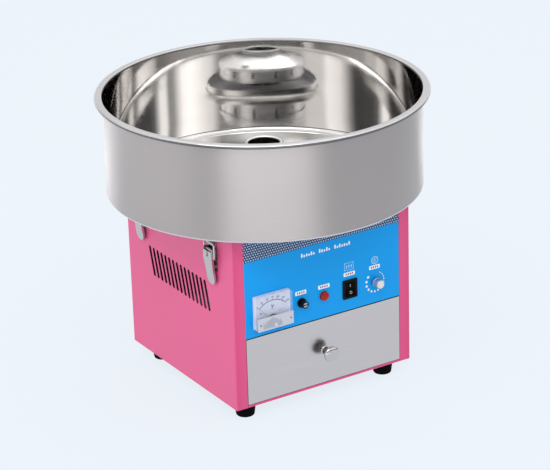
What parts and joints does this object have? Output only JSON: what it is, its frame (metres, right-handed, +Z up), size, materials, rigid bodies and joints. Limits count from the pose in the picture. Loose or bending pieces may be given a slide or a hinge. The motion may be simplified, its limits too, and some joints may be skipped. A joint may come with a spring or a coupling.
{
  "type": "cotton candy machine",
  "caption": "Countertop cotton candy machine with a round steel bowl latched on a square painted cabinet, a heated spinner head, front controls and a drawer.",
  "frame": {"origin": "on the floor under the bowl's axis", "axes": "+Z up along the bowl's axis, -Y towards the front with the controls and the drawer, +X to the right seen from the front"},
  "size_m": [0.5192, 0.519, 0.4633],
  "materials": {
    "pink_paint": "smooth pink paint",
    "blue_paint": "smooth blue enamel",
    "sheet_steel": "plain sheet steel",
    "bowl_steel": "satin outside, bright inside",
    "catch_steel": "pressed sheet",
    "drawer_steel": "brushed",
    "knob_chrome": "polished",
    "latch_steel": "bright zinc plating",
    "wire_steel": "drawn wire",
    "screw_steel": "plated",
    "rubber": "moulded black rubber",
    "gasket_rubber": "cut sheet rubber",
    "inlet_plastic": "moulded",
    "motor_iron": "painted casting",
    "copper_windings": "lacquered copper and laminations",
    "rotor_iron": "turned",
    "brown_plastic": "moulded phenolic",
    "brass": "turned",
    "carbon": "pressed carbon",
    "head_aluminium": "turned and polished",
    "heating_wire": "oxidised resistance wire",
    "ceramic": "unglazed",
    "meter_plastic": "moulded",
    "dial_card": "printed card",
    "needle_black": "painted",
    "clear_window": "clear moulded",
    "cover_plastic": "frosted",
    "black_plastic": "moulded",
    "rocker_plastic": "moulded",
    "lamp_red": "moulded",
    "lens_red": "translucent",
    "control_metal": "plated",
    "knob_plastic": "metallised plastic",
    "board": "circuit board"
  },
  "bodies": {
    "cabinet": {"side_left": "pink_paint", "side_right": "pink_paint", "rear_panel": "pink_paint", "base_pan": "pink_paint", "top_deck": "sheet_steel", "front_panel": "blue_paint", "divider_shelf": "sheet_steel", "drawer_runners": "sheet_steel", "rear_screws": "screw_steel", "rubber_feet": "rubber", "chassis_screws": "screw_steel", "power_inlet": "inlet_plastic", "bowl_gasket": "gasket_rubber", "latch_bases": "latch_steel", "latch_rivets": "wire_steel", "latch_pins": "wire_steel", "motor_housing": "motor_iron", "motor_cover": "motor_iron", "motor_stator": "copper_windings", "motor_bearings": "screw_steel", "motor_mounts": "rubber", "brush_holder": "brown_plastic", "brushes": "carbon", "meter_case": "meter_plastic", "meter_dial": "dial_card", "meter_window": "clear_window", "meter_cover": "cover_plastic", "fuse_holder": "black_plastic", "lamp_body": "lamp_red", "lamp_lens": "lens_red", "switch_frame": "black_plastic", "speed_control": "control_metal", "control_board": "board"},
    "spinner": {"motor_rotor": "rotor_iron", "motor_shaft": "screw_steel", "slip_ring_hub": "brown_plastic", "slip_rings": "brass", "spinner_base": "head_aluminium", "spinner_band": "head_aluminium", "heater_ring": "heating_wire", "heater_posts": "ceramic", "spinner_lid": "head_aluminium", "spinner_screws": "screw_steel"},
    "bowl": {"bowl": "bowl_steel", "bowl_catches": "catch_steel"},
    "drawer": {"drawer_box": "sheet_steel", "drawer_front": "drawer_steel", "drawer_knob": "knob_chrome"},
    "rocker": {"switch_rocker": "rocker_plastic"},
    "knob": {"speed_knob": "knob_plastic"},
    "cap": {"fuse_cap": "black_plastic"},
    "needle": {"meter_needle": "needle_black"},
    "lever_front_left": {"latch_lever_front_left": "latch_steel"},
    "bail_front_left": {"latch_bail_front_left": "wire_steel"},
    "lever_front_right": {"latch_lever_front_right": "latch_steel"},
    "bail_front_right": {"latch_bail_front_right": "wire_steel"},
    "lever_rear_left": {"latch_lever_rear_left": "latch_steel"},
    "bail_rear_left": {"latch_bail_rear_left": "wire_steel"},
    "lever_rear_right": {"latch_lever_rear_right": "latch_steel"},
    "bail_rear_right": {"latch_bail_rear_right": "wire_steel"}
  },
  "joints": [
    {"name": "spinner_spin", "type": "hinge", "parent": "cabinet", "child": "spinner", "pos_m": [0, 0, 0.326], "axis": [0, 0, 1], "continuous": true},
    {"name": "bowl_lift", "type": "slide", "parent": "cabinet", "child": "bowl", "axis": [0, 0, 1], "range_m": [0, 0.2]},
    {"name": "drawer_slide", "type": "slide", "parent": "cabinet", "child": "drawer", "axis": [0, -1, 0], "range_m": [0, 0.24]},
    {"name": "rocker_tilt", "type": "hinge", "parent": "cabinet", "child": "rocker", "pos_m": [0.0486, -0.1575, 0.1699], "axis": [1, 0, 0], "range_deg": [0, 16]},
    {"name": "speed_turn", "type": "hinge", "parent": "cabinet", "child": "knob", "pos_m": [0.0963, -0.1605, 0.1696], "axis": [0, 1, 0], "range_deg": [0, 276]},
    {"name": "fuse_cap_turn", "type": "hinge", "parent": "cabinet", "child": "cap", "pos_m": [-0.0405, -0.1605, 0.1696], "axis": [0, -1, 0], "range_deg": [0, 90]},
    {"name": "meter_swing", "type": "hinge", "parent": "cabinet", "child": "needle", "pos_m": [-0.0956, -0.1655, 0.157], "axis": [0, 1, 0], "range_deg": [0, 90], "stiffness_Nm_per_rad": 0.00002},
    {"name": "lever_front_left_open", "type": "hinge", "parent": "cabinet", "child": "lever_front_left", "pos_m": [-0.1684, -0.109, 0.272], "axis": [0, 1, 0], "range_deg": [0, 105]},
    {"name": "bail_front_left_swing", "type": "hinge", "parent": "lever_front_left", "child": "bail_front_left", "pos_m": [-0.1695, -0.109, 0.262], "axis": [0, 1, 0], "range_deg": [-131.5, 0]},
    {"name": "lever_front_right_open", "type": "hinge", "parent": "cabinet", "child": "lever_front_right", "pos_m": [0.1684, -0.109, 0.272], "axis": [0, -1, 0], "range_deg": [0, 105]},
    {"name": "bail_front_right_swing", "type": "hinge", "parent": "lever_front_right", "child": "bail_front_right", "pos_m": [0.1695, -0.109, 0.262], "axis": [0, -1, 0], "range_deg": [-131.5, 0]},
    {"name": "lever_rear_left_open", "type": "hinge", "parent": "cabinet", "child": "lever_rear_left", "pos_m": [-0.1684, 0.109, 0.272], "axis": [0, 1, 0], "range_deg": [0, 105]},
    {"name": "bail_rear_left_swing", "type": "hinge", "parent": "lever_rear_left", "child": "bail_rear_left", "pos_m": [-0.1695, 0.109, 0.262], "axis": [0, 1, 0], "range_deg": [-131.5, 0]},
    {"name": "lever_rear_right_open", "type": "hinge", "parent": "cabinet", "child": "lever_rear_right", "pos_m": [0.1684, 0.109, 0.272], "axis": [0, -1, 0], "range_deg": [0, 105]},
    {"name": "bail_rear_right_swing", "type": "hinge", "parent": "lever_rear_right", "child": "bail_rear_right", "pos_m": [0.1695, 0.109, 0.262], "axis": [0, -1, 0], "range_deg": [-131.5, 0]}
  ],
  "couplings": [
    {"joint": "bail_front_left_swing", "follows": "lever_front_left_open", "ratio": -1.25},
    {"joint": "bail_front_right_swing", "follows": "lever_front_right_open", "ratio": -1.25},
    {"joint": "bail_rear_left_swing", "follows": "lever_rear_left_open", "ratio": -1.25},
    {"joint": "bail_rear_right_swing", "follows": "lever_rear_right_open", "ratio": -1.25}
  ]
}
